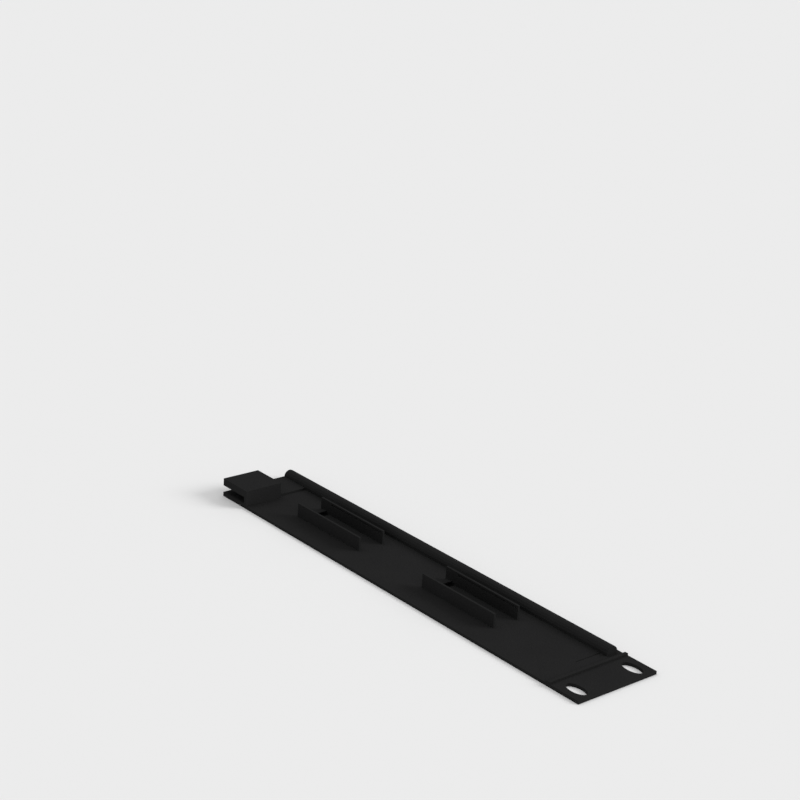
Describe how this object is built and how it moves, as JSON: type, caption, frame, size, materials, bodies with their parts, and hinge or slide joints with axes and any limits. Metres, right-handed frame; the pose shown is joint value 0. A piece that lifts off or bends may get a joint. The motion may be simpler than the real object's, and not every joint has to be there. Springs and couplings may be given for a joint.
{
  "type": "mini computer rack mount bracket",
  "caption": "Flat black half-width rack panel bracket for a small computer, with a hooked joint end, channel ribs with catches, a rounded back bead and an ear with oval holes.",
  "frame": {"origin": "middle of the flat front face, on which the bracket lies", "axes": "+X from the joint end to the ear, +Y from the hook's long edge to the bead's, +Z out of the back of the panel"},
  "size_m": [0.2414, 0.0444, 0.0091],
  "materials": {
    "black_plastic": "matte, moulded"
  },
  "bodies": {
    "root": {"rack_bracket": "black_plastic"}
  },
  "joints": []
}
